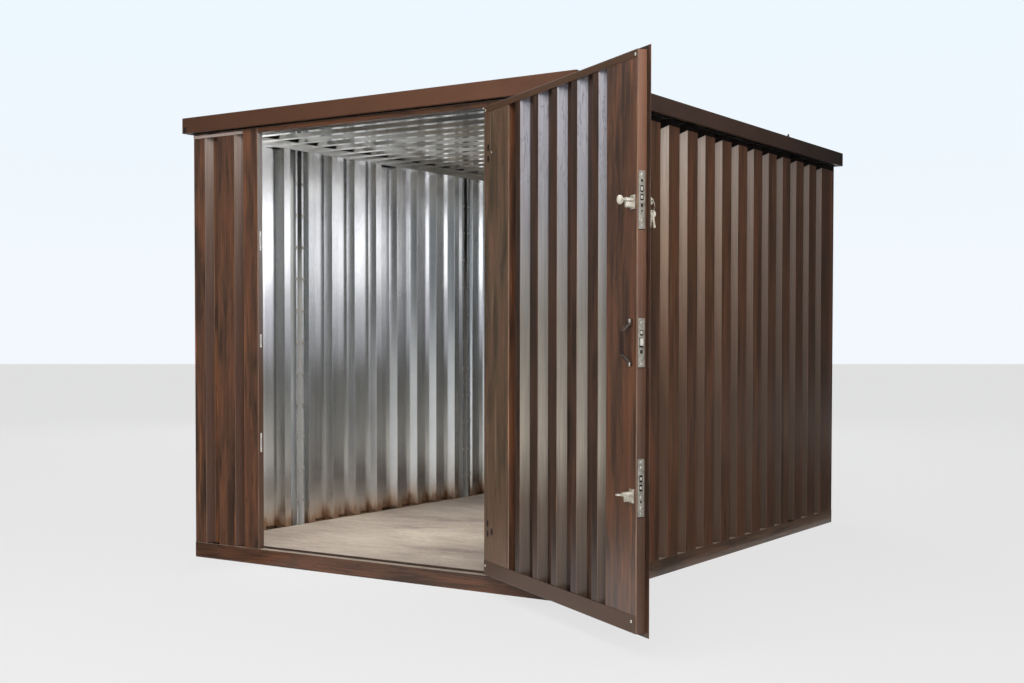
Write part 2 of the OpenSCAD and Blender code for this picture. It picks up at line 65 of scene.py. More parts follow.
def addCamera(settings):
    data = bpy.data.cameras.new("camera")
    data.sensor_width = 36
    data.lens = settings["lens"]
    data.shift_x, data.shift_y = settings["shift"]
    data.clip_end = 200
    camera = bpy.data.objects.new("camera", data)
    camera.location = settings["place"]
    camera.rotation_euler = (math.radians(90 - settings["dip"]), 0, math.radians(settings["turn"]))
    scene.collection.objects.link(camera)
    scene.camera = camera


addCamera(cameraSettings)


def shifted(x, y, z):
    return Matrix.Translation((x, y, z))


def turnedBy(degrees, axis="Z"):
    return Matrix.Rotation(math.radians(degrees), 4, axis)


def moved(mesh, matrix):
    bmesh.ops.transform(mesh, matrix=matrix, verts=mesh.verts)
    return mesh


# turns what is drawn on the closed door to where the open door has it
hinge = next(j for j in frame["joints"] if j["name"] == "door_swing")
hingePlace = Vector(hinge["pos_m"])
doorToWorld = shifted(*hingePlace) @ turnedBy(-hinge["range_deg"][0]) @ shifted(*-hingePlace)


def srgb(r, g, b):
    return tuple(((c / 255 + 0.055) / 1.055) ** 2.4 if c > 10 else c / 255 / 12.92 for c in (r, g, b)) + (1,)


# a colour for a socket, from a shade of grey or from display values of red, green and blue
def tone(value):
    return srgb(*value) if isinstance(value, tuple) else (value, value, value, 1)


# sets a node's inputs by name or number: a socket is linked, anything else is set
def fill(tree, node, inputs):
    for key, value in inputs.items():
        if isinstance(value, bpy.types.NodeSocket):
            tree.links.new(value, node.inputs[key])
        else:
            node.inputs[key].default_value = value


def addNode(tree, kind, inputs, **values):
    node = tree.nodes.new("ShaderNode" + kind)
    for key, value in values.items():
        setattr(node, key, value)
    fill(tree, node, inputs)
    return node


# a material under way; what its functions take and give back are sockets
class Nodes:
    def __init__(self, name):
        self.material = bpy.data.materials.new(name)
        self.material.use_nodes = True
        self.tree = self.material.node_tree
        self.tree.nodes.clear()
        self.shader = self.add("BsdfPrincipled", {})
        self.add("OutputMaterial", {"Surface": self.shader.outputs["BSDF"]})
        self.coords = self.add("TexCoord", {}).outputs["Object"]

    def add(self, kind, inputs, **values):
        return addNode(self.tree, kind, inputs, **values)

    def mapped(self, scale, location=(0, 0, 0)):
        return self.add("Mapping", {"Vector": self.coords, "Scale": scale,
                                    "Location": location}).outputs["Vector"]

    def place(self, axis):
        return self.add("SeparateXYZ", {"Vector": self.coords}).outputs[axis]

    def noise(self, scale, detail=3, rough=0.55, distortion=0, location=(0, 0, 0)):
        return self.add("TexNoise", {
            "Vector": self.mapped(scale, location), "Scale": 1, "Detail": detail, "Roughness": rough,
            "Distortion": distortion}).outputs["Fac"]

    def ramp(self, source, stops, blend="LINEAR"):
        node = self.add("ValToRGB", {"Fac": source})
        node.color_ramp.interpolation = blend
        elements = node.color_ramp.elements
        for i, (position, value) in enumerate(stops):
            element = elements[i] if i < 2 else elements.new(position)
            element.position = position
            element.color = tone(value)
        return node.outputs["Color"]

    def mix(self, a, b, share, blend="MIX"):
        a, b = (v if isinstance(v, bpy.types.NodeSocket) else tone(v) for v in (a, b))
        return self.add("Mix", {0: share, 6: a, 7: b}, data_type="RGBA", blend_type=blend).outputs[2]

    def times(self, a, b, share=1.0):
        return self.mix(a, b, share, "MULTIPLY")

    # where the value gives the low and the high result
    def span(self, value, start, end, low=0.0, high=1.0):
        return self.add("MapRange", {"Value": value, "From Min": start, "From Max": end,
                                     "To Min": low, "To Max": high}).outputs["Result"]

    # height above the ground, made ragged
    def raggedHeight(self, scale, reach):
        ragged = self.noise(scale, 3, 0.6)
        return self.add("Math", {0: ragged, 1: reach, 2: self.place("Z")},
                        operation="MULTIPLY_ADD").outputs["Value"]

    # rough: a pattern, the lowest and the highest roughness; relief: a pattern, its strength and depth
    def finished(self, colour, rough, relief, gloss=0.5, metallic=0.0):
        bump = self.add("Bump", dict(zip(("Height", "Strength", "Distance"), relief)))
        pattern, low, high = rough
        fill(self.tree, self.shader, {
            "Base Color": colour, "Roughness": self.span(pattern, 0, 1, low, high), "Metallic": metallic,
            "Specular IOR Level": gloss, "Normal": bump.outputs["Normal"]})
        return self.material


def grainScale(axis, across, along):
    return tuple(along if i == axis else across for i in range(3))


# patch: how fine the broad streaks are, across and along the grain
# painted shade towards the rear: where along Y the print starts to darken, where it is darkest, and the
# share of colour kept there
def woodPrint(name, axis, tones, seed=0.0, gloss=0.6, patch=(17, 2.3), dusk=None):
    m = Nodes(name)
    dark, middle, warm, streak = tones
    broad = m.noise(grainScale(axis, *patch), 5, 0.66, 0.5, (seed, seed, seed))
    fine = m.noise(grainScale(axis, 150, 3.2), 4, 0.65, 0.2, (seed, 3, 0))
    veins = m.noise(grainScale(axis, 52, 2.0), 2, 0.5, 0.8, (7 + seed, 0, 2))
    patches = m.noise(grainScale(axis, 5, 1.1), 2, 0.5, 0, (2, 9, seed))
    knots = m.noise(grainScale(axis, 60, 14), 2, 0.5, 0, (seed, 5, 5))
    colour = m.ramp(broad, [(0.38, dark), (0.5, middle), (0.62, warm)])
    colour = m.times(colour, m.ramp(fine, [(0.3, 0.46), (0.55, 1.0), (0.75, 1.32)]))
    streaked = m.times(m.ramp(veins, [(0.58, 0), (0.7, 1)]), m.ramp(patches, [(0.44, 0), (0.6, 1)]))
    colour = m.mix(colour, streak, streaked)
    colour = m.times(colour, m.ramp(knots, [(0.66, 1), (0.74, 0.55)]))
    if dusk:
        start, end, kept = dusk
        colour = m.times(colour, m.mix(1, kept, m.span(m.place("Y"), start, end)))
    return m.finished(colour, (fine, 0.26, 0.38), (fine, 0.2, 0.0006), gloss)


# print whose tones change with height as painted light, a painted reflection where pale and painted shade
# where dark; near: the tones it blends to towards the front of the object, where the painted light is
# brighter
# grain: dark veins that show near the top
def paintedLightPrint(name, tones, near=None, gloss=0.5, grain=0.0):
    m = Nodes(name)
    share = m.span(m.raggedHeight((30, 30, 2.2), 0.2), 0.1, 2.1)
    colour = m.ramp(share, tones)
    if near:
        colour = m.mix(colour, m.ramp(share, near), m.span(m.place("Y"), 0.7, -1.2))
    fine = m.noise((150, 150, 3.2), 4, 0.65, 0.2)
    colour = m.times(colour, m.ramp(fine, [(0.3, 0.74), (0.55, 1.0), (0.75, 1.16)]))
    if grain:
        veins = m.noise((70, 70, 5), 2, 0.5, 1.4, (4, 2, 0))
        veinTone = m.ramp(veins, [(0.47, 1), (0.5, 1 - grain), (0.53, 1)])
        colour = m.times(colour, m.mix(1, veinTone, m.ramp(share, [(0.72, 0), (0.86, 1)])))
    return m.finished(colour, (fine, 0.28, 0.4), (fine, 0.14, 0.0005), gloss)


# painted shade along an axis: the axis, where along it the paint starts to darken and where it is darkest,
# the dark colour
def plainPaint(name, low, high, rough=(0.3, 0.42), gloss=0.4, soot=None):
    m = Nodes(name)
    cloud = m.noise((3, 3, 5), 4, 0.6)
    speck = m.noise((420, 420, 420), 2, 0.6)
    colour = m.times(m.ramp(cloud, [(0.3, low), (0.7, high)]), m.ramp(speck, [(0.35, 0.86), (0.65, 1.08)]))
    if soot:
        axis, start, end, darkest = soot
        colour = m.mix(colour, darkest, m.span(m.place(axis), start, end))
    return m.finished(colour, (cloud, *rough), (speck, 0.08, 0.0004), gloss)


def zinc(name, axis, bright, dull, stain=None, rough=(0.16, 0.22), metallic=0.95):
    m = Nodes(name)
    rolled = m.noise(grainScale(axis, 24, 0.8), 2, 0.5, 0, (1, 4, 0))
    cloud = m.noise((4, 4, 2.2), 3, 0.55)
    spangle = m.add("TexVoronoi", {"Vector": m.mapped((1, 1, 1)), "Scale": 90}).outputs["Distance"]
    colour = m.times(m.ramp(cloud, [(0.3, dull), (0.7, bright)]), m.ramp(rolled, [(0.3, 0.95), (0.7, 1.02)]))
    colour = m.times(colour, m.ramp(spangle, [(0.0, 0.93), (1.0, 1.03)]), 0.6)
    if stain:
        height = m.raggedHeight((26, 26, 5), -0.16)
        colour = m.mix(colour, stain["colour"], m.ramp(height, [(0.0, 0.75), (stain["top"], 0)], "EASE"))
        colour = m.mix(colour, stain["rust"], m.ramp(height, [(0.02, 0.62), (stain["rustTop"], 0)]))
    return m.finished(colour, (rolled, *rough), (rolled, 0.05, 0.0015), metallic=metallic)


def brightMetal(name, bright, worn, rough=(0.18, 0.34), metallic=1.0):
    m = Nodes(name)
    colour = m.ramp(m.noise((60, 60, 60), 4, 0.6), [(0.35, worn), (0.65, bright)])
    scratch = m.noise((900, 900, 60), 2, 0.5)
    return m.finished(colour, (scratch, *rough), (scratch, 0.05, 0.0002), metallic=metallic)


def floorBoard(name, tones, cutEdge):
    m = Nodes(name)
    streaks = m.noise((5, 46, 1), 4, 0.7, 0.6)
    chips = m.noise((34, 150, 60), 3, 0.7)
    colour = m.ramp(m.noise((1.3, 2.2, 1), 4, 0.62, 0.3, (3, 1, 0)), tones)
    colour = m.times(colour, m.ramp(streaks, [(0.3, 0.7), (0.5, 0.98), (0.72, 1.12)]))
    colour = m.times(colour, m.ramp(chips, [(0.3, 0.74), (0.52, 1.0), (0.7, 1.1)]))
    facing = m.add("NewGeometry", {}).outputs["Normal"]
    # the board's upright edges are painted dark as painted shade
    colour = m.mix(cutEdge, colour, m.add("SeparateXYZ", {"Vector": facing}).outputs["Z"])
    return m.finished(colour, (streaks, 0.42, 0.62), (chips, 0.2, 0.0008), 0.35)


# the wood print's dark, middle, warm and streak tones
printTones = ((62, 44, 33), (87, 58, 42), (102, 65, 44), (132, 82, 50))
sideTones = ((68, 47, 34), (92, 62, 42), (110, 68, 46), (112, 84, 56))
railTones = ((70, 53, 40), (94, 71, 53), (104, 75, 54), (118, 88, 62))
# greyer, paler tones for the hinge stile's inner face, a painted reflection
stileSheenTones = ((72, 57, 43), (94, 74, 56), (106, 76, 59), (124, 104, 80))
shadeTones = ((46, 33, 26), (62, 44, 34), (72, 48, 36), (84, 56, 40))
# paler tones for the folds, a painted highlight
foldHighlightTones = ((96, 74, 60), (118, 90, 72), (130, 98, 76), (146, 106, 76))
# painted light tones, a painted reflection where pale and painted shade where dark: (height as a share of
# the wall, colour)
farSheenTones = [(0.3, (72, 54, 38)), (0.5, (76, 56, 41)), (0.72, (90, 70, 57)), (0.98, (106, 88, 77))]
nearSheenTones = [(0.38, (94, 66, 46)), (0.53, (128, 94, 72)), (0.74, (172, 144, 122)), (0.98, (208, 190, 176))]
frontSheenTones = [(0.4, (86, 62, 51)), (0.6, (88, 66, 56)), (0.78, (104, 85, 75)), (0.88, (119, 100, 90)),
              (0.99, (148, 132, 122))]
edgeLitTones = [(0.3, (82, 60, 48)), (0.55, (92, 64, 50)), (0.98, (130, 92, 72))]
doorSheenTones = [(0.06, (68, 53, 42)), (0.22, (84, 69, 56)), (0.34, (134, 124, 111)), (0.56, (112, 105, 95)),
             (0.78, (126, 122, 124)), (0.98, (146, 142, 148))]
revealSheenTones = [(0.42, (92, 64, 48)), (0.92, (150, 143, 138))]
channelTones = [(0.64, (192, 191, 187)), (0.74, (150, 150, 147)), (0.8, (90, 90, 88))]
# the floor board's: (share of the pattern, colour)
boardTones = [(0.36, (158, 141, 130)), (0.48, (186, 170, 155)), (0.66, (206, 192, 174))]
# the pale stain at the foot of the linings and the rust-brown under it, both part real stain and part
# painted reflection of the floor and base, and how high they climb
stain = {"colour": (200, 172, 142), "top": 0.14, "rust": (132, 88, 54), "rustTop": 0.06}
# the finishes and their values, under what makes them
finishes = {
    woodPrint: {
        "uprightPrint": dict(axis=2, tones=printTones),
        "doorPrint": dict(axis=2, tones=printTones, seed=4.0),
        "sillPrint": dict(axis=0, tones=printTones, seed=2.0, gloss=0.4),
        "railPrint": dict(axis=1, tones=railTones, seed=1.0, gloss=0.25),
        # the side wall's print darkens towards the rear as painted shade
        "sidePrint": dict(axis=2, tones=sideTones, seed=6.0, gloss=0.4, patch=(26, 1.4),
                          dusk=(-0.1, 1.5, 0.55)),
        "stilePrint": dict(axis=2, tones=stileSheenTones, seed=4.0, gloss=0.4),
        "foldPrint": dict(axis=2, tones=foldHighlightTones, seed=3.0, gloss=0.75),
        "shadePrint": dict(axis=2, tones=shadeTones, seed=4.0, gloss=0.3),
    },
    # painted reflections on the flutes' flanks, the lock edge and the reveals; painted shade and reflection
    # in the seam channels
    paintedLightPrint: {
        "flankPrint": dict(tones=farSheenTones, near=nearSheenTones),
        "frontFlankPrint": dict(tones=frontSheenTones),
        "edgePrint": dict(tones=edgeLitTones),
        "doorFlankPrint": dict(tones=doorSheenTones, gloss=0.6, grain=0.5),
        "revealPrint": dict(tones=revealSheenTones),
        "channelShade": dict(tones=channelTones, gloss=0.3),
    },
    plainPaint: {
        # the fascias darken along their length as painted shade; the side fascias' paint is also darker
        # overall as painted shade
        "fasciaPaint": dict(low=(88, 57, 40), high=(101, 66, 47), soot=("X", 1.0, -1.1, (70, 44, 29))),
        "sideFasciaPaint": dict(low=(64, 45, 36), high=(76, 54, 43), gloss=0.25,
                                soot=("Y", 0.3, 1.6, (34, 27, 24))),
        "doorRailPaint": dict(low=(71, 49, 33), high=(80, 55, 38), gloss=0.25),
        "hingePaint": dict(low=(50, 36, 30), high=(62, 44, 36)),
        "handlePaint": dict(low=(46, 31, 25), high=(60, 41, 33), rough=(0.24, 0.34)),
        # pale ledges and folds: dust and a painted highlight
        "dustyEdge": dict(low=(150, 134, 118), high=(178, 162, 144), rough=(0.4, 0.6)),
        # the eaves strip's pale paint, a painted reflection
        "eavesPaint": dict(low=(144, 128, 120), high=(162, 146, 137)),
        # near-black paint for the wall tops under the fascias, a painted shadow
        "eavesGrime": dict(low=(12, 9, 8), high=(24, 18, 15), rough=(0.6, 0.8), gloss=0.05),
        "slotShade": dict(low=(34, 32, 31), high=(48, 45, 43), rough=(0.5, 0.7)),
        # dark paint for holes, slots, recesses and gaps, a painted shade
        "recessDark": dict(low=(18, 15, 14), high=(28, 24, 22), rough=(0.5, 0.7)),
    },
    zinc: {
        "wallZinc": dict(axis=2, bright=(226, 227, 226), dull=(208, 209, 207), stain=stain),
        "postZinc": dict(axis=2, bright=(222, 224, 224), dull=(202, 204, 204), metallic=0.7),
        "railZinc": dict(axis=1, bright=(214, 214, 210), dull=(192, 192, 188)),
        "roofZinc": dict(axis=0, bright=(232, 232, 228), dull=(214, 214, 208), rough=(0.12, 0.18)),
    },
    brightMetal: {
        "plateZinc": dict(bright=(178, 174, 164), worn=(136, 132, 122), rough=(0.34, 0.5), metallic=0.5),
        "boltZinc": dict(bright=(226, 222, 212), worn=(194, 190, 180), rough=(0.26, 0.4), metallic=0.4),
        "strikeZinc": dict(bright=(250, 248, 244), worn=(238, 234, 228), rough=(0.3, 0.45), metallic=0.2),
        "nickel": dict(bright=(222, 216, 202), worn=(184, 176, 160), rough=(0.2, 0.36), metallic=0.6),
    },
    floorBoard: {
        "board": dict(tones=boardTones, cutEdge=(70, 54, 44)),
    },
}
paints = {name: make(name, **values) for make, group in finishes.items() for name, values in group.items()}
print("materials made:", len(paints))


foldSettings = {
    "innerRadius": 0.0015,
    "gauge": 0.0018,
    "segments": 3,
    "narrow": 0.004,     # faces narrower than this are the sheets' cut edges
    "least": 0.5,        # in radians: slighter bends stay as they are
}


def narrowness(face):
    return face.calc_area() / max(e.calc_length() for e in face.edges)


def foldsOf(mesh, sign):
    wide = {f for f in mesh.faces if narrowness(f) > foldSettings["narrow"]}
    return [e for e in mesh.edges if len(e.link_faces) == 2 and wide.issuperset(e.link_faces)
            and sign * e.calc_face_angle_signed(0) > foldSettings["least"]]


# a node's mesh with its triangles joined to flat faces
def cleanCopy(name, weld=1e-5, flat=0.5):
    mesh = bmesh.new()
    mesh.from_mesh(nodes[name].data)
    bmesh.ops.remove_doubles(mesh, verts=mesh.verts, dist=weld)
    bmesh.ops.dissolve_limit(mesh, angle_limit=math.radians(flat), verts=mesh.verts, edges=mesh.edges,
                             use_dissolve_boundaries=False)
    return mesh


def rounded(mesh, edges, width, segments=2):
    return bmesh.ops.bevel(mesh, geom=edges, offset=width, offset_type="OFFSET", affect="EDGES",
                           segments=segments, profile=0.5, material=-1, clamp_overlap=True)["faces"]


# a sheet with its folds rounded, sharper on the inside of a bend than on the outside
def foldedMesh(name):
    mesh = cleanCopy(name)
    bent = mesh.faces.layers.int.new("bent")
    inner = foldSettings["innerRadius"]
    for sign, radius in ((1, inner + foldSettings["gauge"]), (-1, inner)):
        folds = foldsOf(mesh, sign)
        if folds:
            slope = min(abs(e.calc_face_angle_signed(0)) for e in folds)
            for face in rounded(mesh, folds, radius * math.tan(slope / 2), foldSettings["segments"]):
                face[bent] = 1
    return mesh


def newObject(name, mesh):
    data = bpy.data.meshes.new(name)
    mesh.to_mesh(data)
    mesh.free()
    made = bpy.data.objects.new(name, data)
    scene.collection.objects.link(made)
    return made


def addPiece(name, mesh, materials, body="container"):
    piece = newObject(name, mesh)
    for material in materials:
        piece.data.materials.append(paints[material])
    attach(piece, body)
    return piece


# a line of edges where a plane meets the mesh
def score(mesh, point, normal, reach=1e-6):
    bmesh.ops.bisect_plane(mesh, geom=mesh.verts[:] + mesh.edges[:] + mesh.faces[:], dist=reach,
                           plane_co=point, plane_no=normal)


# the tops of the walls, painted near-black as the fascia's shadow: height of the painted shadow on the outer
# face, and how much lower it reaches for each metre further in
eavesSettings = {"level": 2.007, "slope": 0.5}


def eavesPlane(outward, wallFace):
    slope = eavesSettings["slope"] if wallFace else 0.0
    point = Vector(outward) * wallFace + Vector((0, 0, eavesSettings["level"]))
    return point, Vector((0, 0, 1)) - slope * Vector(outward)


# faces above the plane get the near-black painted shadow of the fascia
def eavesShadowZone(outward, plane):
    point, normal = plane
    return "eavesGrime", lambda face, bent: (faces(outward, face)
                                             and (face.calc_center_median() - point).dot(normal) > 0)


# zones: (paint, test of a face and whether it is a fold); the last that fits is used
def foldedPiece(node, paint, body="container", zones=(), cuts=()):
    mesh = foldedMesh(node)
    for point, normal in cuts:
        score(mesh, point, normal)
    bent = mesh.faces.layers.int["bent"]
    for face in mesh.faces:
        for i, (_, test) in enumerate(zones):
            if test(face, face[bent]):
                face.material_index = i + 1
    mesh.faces.layers.int.remove(bent)
    piece = addPiece(node + "_folded", mesh, [paint] + [zone for zone, _ in zones], body)
    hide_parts(node)
    return piece


def faces(direction, face, least=0.05):
    return face.normal.dot(Vector(direction).normalized()) > least


def liningZone(outward, paint="wallZinc"):
    return paint, lambda face, bent: not faces(outward, face)


# folds facing out get the paler print, a painted highlight
def foldZone(outward, paint="foldPrint"):
    return paint, lambda face, bent: bent and faces(outward, face)


# the sloping sides of the flutes that face one way, painted pale towards the top as a painted reflection
def flankZone(outward, way, paint="flankPrint"):
    return paint, lambda face, bent: not bent and faces(outward, face) and faces(way, face, 0.5)


front, rear, left, right = (0, -1, 0), (0, 1, 0), (-1, 0, 0), (1, 0, 0)
printed, zinced, plain = "wood_print_steel", "galvanised_steel", "plain_brown_steel"
wallFaces = {"left": -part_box("left_wall_middle")[0][0], "right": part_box("right_wall_middle")[1][0],
             "rear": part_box("rear_wall_left")[1][1], "front": -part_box("front_wall_left")[0][1]}
for side, outward in (("left", left), ("right", right)):
    plane = eavesPlane(outward, wallFaces[side])
    for part in ("front", "middle", "rear"):
        foldedPiece(f"{side}_wall_{part}", "sidePrint", cuts=[plane],
                    zones=[foldZone(outward), flankZone(outward, front), eavesShadowZone(outward, plane),
                           liningZone(outward)])
for end, outward in (("front", front), ("rear", rear)):
    plane = eavesPlane(outward, wallFaces[end])
    for side in ("left", "right"):
        # the front wall's flanks that face the doorway are painted pale towards the top as a painted
        # reflection
        top = eavesShadowZone(outward, plane) if end == "rear" else flankZone(front, right, "frontFlankPrint")
        foldedPiece(f"{end}_wall_{side}", "uprightPrint", cuts=[plane],
                    zones=[foldZone(outward), top, liningZone(outward)])
        across = left if side == "left" else right
        corner = tuple(Vector(outward) + Vector(across))
        shadowWay = across if end == "front" else corner
        level = eavesPlane(corner, 0.0)
        foldedPiece(f"{end}_{side}_post", "uprightPrint", cuts=[level],
                    zones=[foldZone(corner), eavesShadowZone(shadowWay, level), liningZone(corner, "postZinc")])
# only ledges above this height are painted pale, as dust and a painted highlight
paleAbove = 0.07      # lower ledges of the base rails stay clean
dustAndGlint = [("dustyEdge", lambda face, bent: face.normal.z > 0.9 and face.calc_center_median().z > paleAbove)]
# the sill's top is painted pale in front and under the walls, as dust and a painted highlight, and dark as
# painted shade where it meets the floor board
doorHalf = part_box("right_jamb")[0][0]
shadeStrip = 0.012     # how far it comes out from the floor board
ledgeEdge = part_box("floor_board")[0][1] - shadeStrip
sillCuts = [((side * doorHalf, 0, 0), right) for side in (-1, 1)] + [((0, ledgeEdge, 0), rear)]


# the strip of the sill next to the floor board, painted dark as shade
def shadedLedge(face, bent):
    centre = face.calc_center_median()
    return (face.normal.z > 0.95 and centre.z > paleAbove and abs(centre.x) < doorHalf
            and centre.y > ledgeEdge)


for side in ("left", "right"):
    inwards = right if side == "left" else left
    # the jambs' reveals are painted pale towards the top as a painted reflection
    reveal = ("revealPrint", lambda face, bent, inwards=inwards: faces(inwards, face, 0.9))
    foldedPiece(f"{side}_jamb", "uprightPrint", zones=[foldZone(front), reveal])
    foldedPiece(f"{side}_base_rail", "railPrint", zones=dustAndGlint)
    foldedPiece(f"{side}_top_rail", "railZinc")
    foldedPiece(f"{side}_fascia", "sideFasciaPaint")
dustAndGlintFold = ("dustyEdge", lambda face, bent: bent and face.normal.z > 0.1)
foldedPiece("front_sill", "sillPrint", cuts=sillCuts,
            zones=dustAndGlint + [dustAndGlintFold, ("slotShade", shadedLedge)])
foldedPiece("rear_base_rail", "sillPrint", zones=dustAndGlint)
foldedPiece("door_header", "sillPrint")
foldedPiece("roof_sheet", "roofZinc")
for end in ("front", "rear"):
    foldedPiece(f"{end}_top_rail", "roofZinc")
    foldedPiece(f"{end}_fascia", "fasciaPaint")

# the seam posts' channels are painted dark inside near the top as painted shade, and pale lower down as a
# painted reflection
seamSettings = {
    "lipDepth": 0.0415,      # from the wall's outer face to the lips' inner face
    "lipGauge": 0.0025,      # a little more than the lips' own
    "halfWidth": 0.03,
    "slotHalf": 0.0178,
}
seamPosts = []       # side, outward direction, axis along the wall, place on that axis
for side, outward, along in (("left", left, 1), ("right", right, 1), ("rear", rear, 0)):
    node = "rear_seam_post" if side == "rear" else f"{side}_seam_posts"
    low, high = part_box(node)
    half = seamSettings["halfWidth"]
    middles = sorted({round(low[along] + half, 4), round(high[along] - half, 4)})
    seamPosts += [(side, outward, along, middle) for middle in middles]
    depth = wallFaces[side] - seamSettings["lipDepth"] + seamSettings["lipGauge"]

    def inChannel(face, bent, outward=Vector(outward), along=along, middles=middles, depth=depth):
        centre = face.calc_center_median()
        return (outward.dot(centre) > depth
                and min(abs(centre[along] - middle) for middle in middles) < seamSettings["slotHalf"])
    foldedPiece(node, "postZinc", zones=[("channelShade", inChannel)])

inner, lockWards = (tuple(doorToWorld.to_3x3() @ Vector(way)) for way in (rear, left))
leafFold = ("foldPrint", lambda face, bent: bent)
# the door's inner faces are painted darker as shade, its folds paler as a painted highlight, the flanks
# facing the lock edge paler as a painted reflection, and the lock edge paler at the top as painted light
leafZones = {
    "sheet": [("shadePrint", lambda face, bent: faces(inner, face)), leafFold,
              flankZone(inner, lockWards, "doorFlankPrint")],
    "hinge_stile": [leafFold, ("stilePrint", lambda face, bent: not bent and faces(inner, face))],
    "lock_stile": [leafFold, ("edgePrint", lambda face, bent: not bent and faces(lockWards, face, 0.9))],
}
for part, zones in leafZones.items():
    foldedPiece(f"door_{part}", "doorPrint", body="door", zones=zones)
for part in ("top_rail", "bottom_rail"):
    foldedPiece(f"door_{part}", "doorRailPaint", body="door")
print("folded sheets made")


def dress(node, paint):
    materials = nodes[node].data.materials
    materials.clear()
    materials.append(paints[paint])


dress("floor_board", "board")
dress("floor_bearers", "railZinc")


def block(size, edge=0.0, segments=2):
    mesh = bmesh.new()
    bmesh.ops.create_cube(mesh, size=1)
    bmesh.ops.scale(mesh, vec=size, verts=mesh.verts)
    if edge:
        rounded(mesh, mesh.edges[:], edge, segments)
    return mesh


def vertsOf(geometry):
    return [v for v in geometry if isinstance(v, bmesh.types.BMVert)]


# a turned part from (radius, height) points
def turned(profile, steps=16):
    mesh = bmesh.new()
    line = [mesh.verts.new((radius, 0, height)) for radius, height in profile]
    edges = [mesh.edges.new(pair) for pair in zip(line, line[1:])]
    bmesh.ops.spin(mesh, geom=line + edges, cent=(0, 0, 0), axis=(0, 0, 1), angle=math.tau, steps=steps,
                   use_merge=True)
    bmesh.ops.remove_doubles(mesh, verts=mesh.verts, dist=1e-6)
    bmesh.ops.recalc_face_normals(mesh, faces=mesh.faces)
    return mesh


def absorb(target, part):
    data = bpy.data.meshes.new("part")
    part.to_mesh(data)
    part.free()
    target.from_mesh(data)
    bpy.data.meshes.remove(data)


# puts a copy of a part at each place, in one material
def stamp(target, part, places, material=0):
    for face in part.faces:
        face.material_index = material
    for place in places:
        absorb(target, moved(part.copy(), place))
    part.free()


def standing(place, direction, spin=0.0):
    turn = Vector(direction).to_track_quat("Z", "Y").to_matrix().to_4x4()
    return shifted(*place) @ turn @ turnedBy(spin)


# smooth over gentle folds, crisp over sharp ones
def shaded(mesh, sharpest=38):
    for face in mesh.faces:
        face.smooth = True
    for edge in mesh.edges:
        edge.smooth = len(edge.link_faces) == 2 and edge.calc_face_angle(0) < math.radians(sharpest)
    return mesh


# a part seen in the door's closed frame is moved to the open door
def doorPiece(name, mesh, materials, slot, *replaced, body="door"):
    piece = addPiece(name, shaded(moved(mesh, doorToWorld)), materials, body)
    if replaced:
        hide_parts(*replaced)
    return piece


# a node's own shape with its edges eased; closed: moved into the door's closed frame
def softCopy(node, width, segments=2, least=60, closed=False):
    mesh = cleanCopy(node)
    edges = [e for e in mesh.edges if len(e.link_faces) == 2 and e.calc_face_angle(0) > math.radians(least)]
    rounded(mesh, edges, width, segments)
    return moved(mesh, doorToWorld.inverted()) if closed else mesh


# adds a flat plate at a seat, with pockets sunk in its top and their floors painted dark as shade: (middle
# along Y, half width, half length)
def addSlottedPlate(target, seat, settings, length, pockets):
    gauge = settings["gauge"]
    mesh = block((settings["width"], length, gauge))
    upright = [e for e in mesh.edges if abs(e.verts[0].co.z - e.verts[1].co.z) > gauge / 2]
    rounded(mesh, upright, settings["corner"], 4)
    bmesh.ops.translate(mesh, vec=(0, 0, gauge / 2), verts=mesh.verts)
    cuts = {(0, side * halfX) for _, halfX, _ in pockets for side in (-1, 1)}
    cuts |= {(1, middle + side * halfY) for middle, _, halfY in pockets for side in (-1, 1)}
    for axis, at in sorted(cuts):
        point, normal = Vector((0, 0, 0)), Vector((0, 0, 0))
        point[axis], normal[axis] = at, 1
        score(mesh, point, normal, 1e-7)
    for middle, halfX, halfY in pockets:
        tops = [f for f in mesh.faces if f.normal.z > 0.9 and f.calc_center_median().z > gauge * 0.9
                and abs(f.calc_center_median().x) < halfX and abs(f.calc_center_median().y - middle) < halfY]
        sunk = bmesh.ops.extrude_face_region(mesh, geom=tops)["geom"]
        bmesh.ops.delete(mesh, geom=[f for f in tops if f.is_valid], context="FACES_ONLY")
        bmesh.ops.translate(mesh, vec=(0, 0, -settings["pocketDepth"]), verts=vertsOf(sunk))
        for face in sunk:
            if isinstance(face, bmesh.types.BMFace):
                face.material_index = 1
    absorb(target, moved(mesh, seat))


screwSettings = {
    "radius": 0.0042,
    "height": 0.0016,
    "slot": (0.0009, 0.0056, 0.0004),     # width, length and depth
}


# a domed screw head with its cross recess, drawn as a dark cross laid on the head as painted shade;
# materials 0 for the head, 1 for the recess's painted shade
def addScrews(mesh, places, settings=screwSettings, scale=1.0, head=0, recess=1):
    turns = [place @ turnedBy(rng.uniform(0, 90)) for place in places]
    r, h = settings["radius"] * scale, settings["height"] * scale
    dome = [(0, h), (r * 0.5, h * 0.93), (r * 0.85, h * 0.62), (r, h * 0.1), (r, -h * 0.5), (0, -h * 0.5)]
    stamp(mesh, turned(dome), turns, head)
    width, length, gauge = settings["slot"]
    width, length = width * scale, length * scale
    lifted = [turn @ shifted(0, 0, h * 0.92) for turn in turns]
    for size in ((width, length, gauge), (length, width, gauge)):
        stamp(mesh, block(size), lifted, recess)


